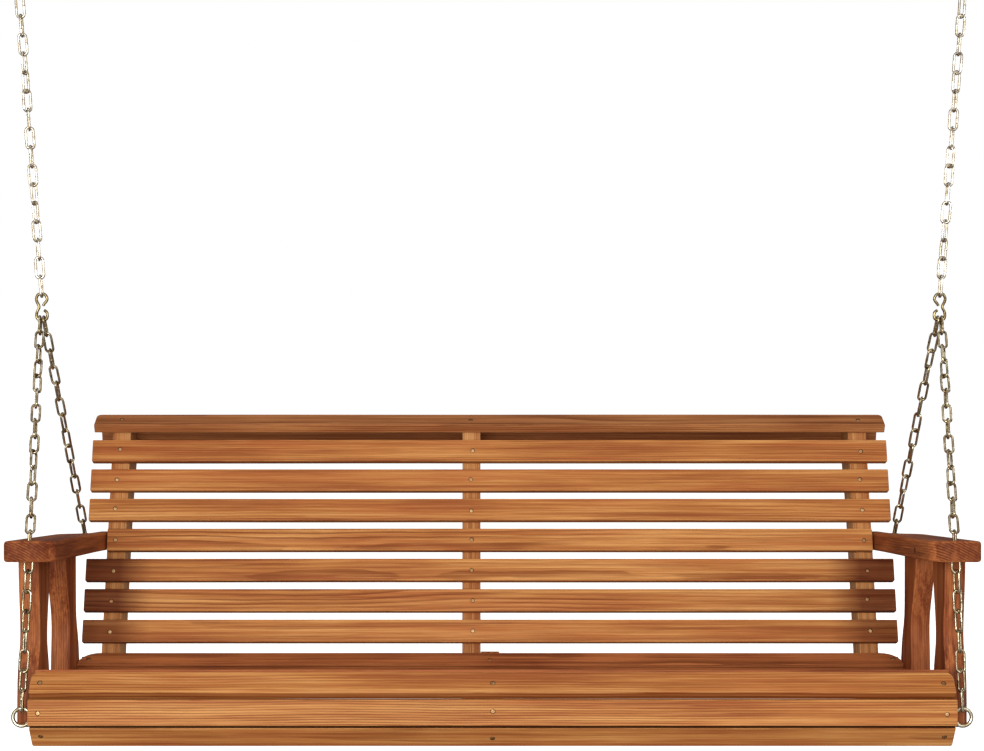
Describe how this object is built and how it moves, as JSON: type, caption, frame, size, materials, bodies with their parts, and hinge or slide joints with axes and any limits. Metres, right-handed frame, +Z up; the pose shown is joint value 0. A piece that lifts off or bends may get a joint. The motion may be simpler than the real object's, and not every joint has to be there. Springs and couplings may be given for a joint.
{
  "type": "porch swing",
  "caption": "Slatted roll-back porch swing bench with arms, hung from two ceiling hangers on steel chains that part into a V on each side.",
  "frame": {"origin": "on the ceiling plane, midway between the two ceiling hangers, straight above the bench's centre of mass from front to back", "axes": "+X to the right as seen from in front, along the bench; +Y from the front of the seat to the back; +Z up"},
  "size_m": [1.9478, 0.7766, 1.5793],
  "materials": {
    "pine_orange_brown": "satin",
    "pine_red_brown": "satin",
    "chain_steel": "satin",
    "zinc_hardware": "satin"
  },
  "bodies": {
    "ceiling": {"ceiling_hanger_left": "zinc_hardware", "ceiling_hanger_right": "zinc_hardware", "lag_screw_left_inner": "zinc_hardware", "lag_screw_left_outer": "zinc_hardware", "lag_screw_right_inner": "zinc_hardware", "lag_screw_right_outer": "zinc_hardware"},
    "upper_chains": {"upper_chain_left": "chain_steel", "upper_chain_right": "chain_steel", "chain_junction_left": "chain_steel", "chain_junction_right": "chain_steel"},
    "bench": {"seat_support_centre": "pine_red_brown", "crest_slat_front": "pine_red_brown", "crest_slat_top": "pine_red_brown", "crest_slat_rear": "pine_red_brown", "seat_support_left": "pine_red_brown", "seat_support_right": "pine_red_brown", "seat_slat_1": "pine_red_brown", "seat_slat_2": "pine_red_brown", "seat_slat_3": "pine_red_brown", "seat_slat_4": "pine_red_brown", "seat_slat_5": "pine_red_brown", "seat_slat_6": "pine_red_brown", "seat_slat_7": "pine_red_brown", "arm_left": "pine_red_brown", "arm_right": "pine_red_brown", "front_post_left": "pine_red_brown", "front_post_right": "pine_red_brown", "rear_post_left": "pine_red_brown", "rear_post_right": "pine_red_brown", "back_support_centre": "pine_orange_brown", "front_slat_bottom": "pine_orange_brown", "front_slat_middle": "pine_orange_brown", "front_slat_top": "pine_orange_brown", "back_support_left": "pine_orange_brown", "back_support_right": "pine_orange_brown", "back_slat_1": "pine_orange_brown", "back_slat_2": "pine_orange_brown", "back_slat_3": "pine_orange_brown", "back_slat_4": "pine_orange_brown", "back_slat_5": "pine_orange_brown", "back_slat_6": "pine_orange_brown", "back_slat_7": "pine_orange_brown", "front_chain_upper_left": "chain_steel", "front_chain_upper_right": "chain_steel", "front_chain_lower_left": "chain_steel", "front_chain_lower_right": "chain_steel", "rear_chain_left": "chain_steel", "rear_chain_right": "chain_steel", "lap_bolt_centre": "zinc_hardware", "front_eye_bolt_left": "zinc_hardware", "front_eye_bolt_right": "zinc_hardware", "front_eye_nut_left": "zinc_hardware", "front_eye_nut_right": "zinc_hardware", "rear_eye_bolt_left": "zinc_hardware", "rear_eye_bolt_right": "zinc_hardware", "rear_eye_nut_left": "zinc_hardware", "rear_eye_nut_right": "zinc_hardware", "lap_bolt_left": "zinc_hardware", "lap_bolt_right": "zinc_hardware"}
  },
  "joints": [
    {"name": "swing", "type": "hinge", "parent": "ceiling", "child": "upper_chains", "pos_m": [0, 0, -0.049], "axis": [1, 0, 0], "range_deg": [-22, 22]},
    {"name": "bench_tilt", "type": "hinge", "parent": "upper_chains", "child": "bench", "pos_m": [0, 0, -0.70565], "axis": [1, 0, 0], "range_deg": [-8, 8]}
  ]
}
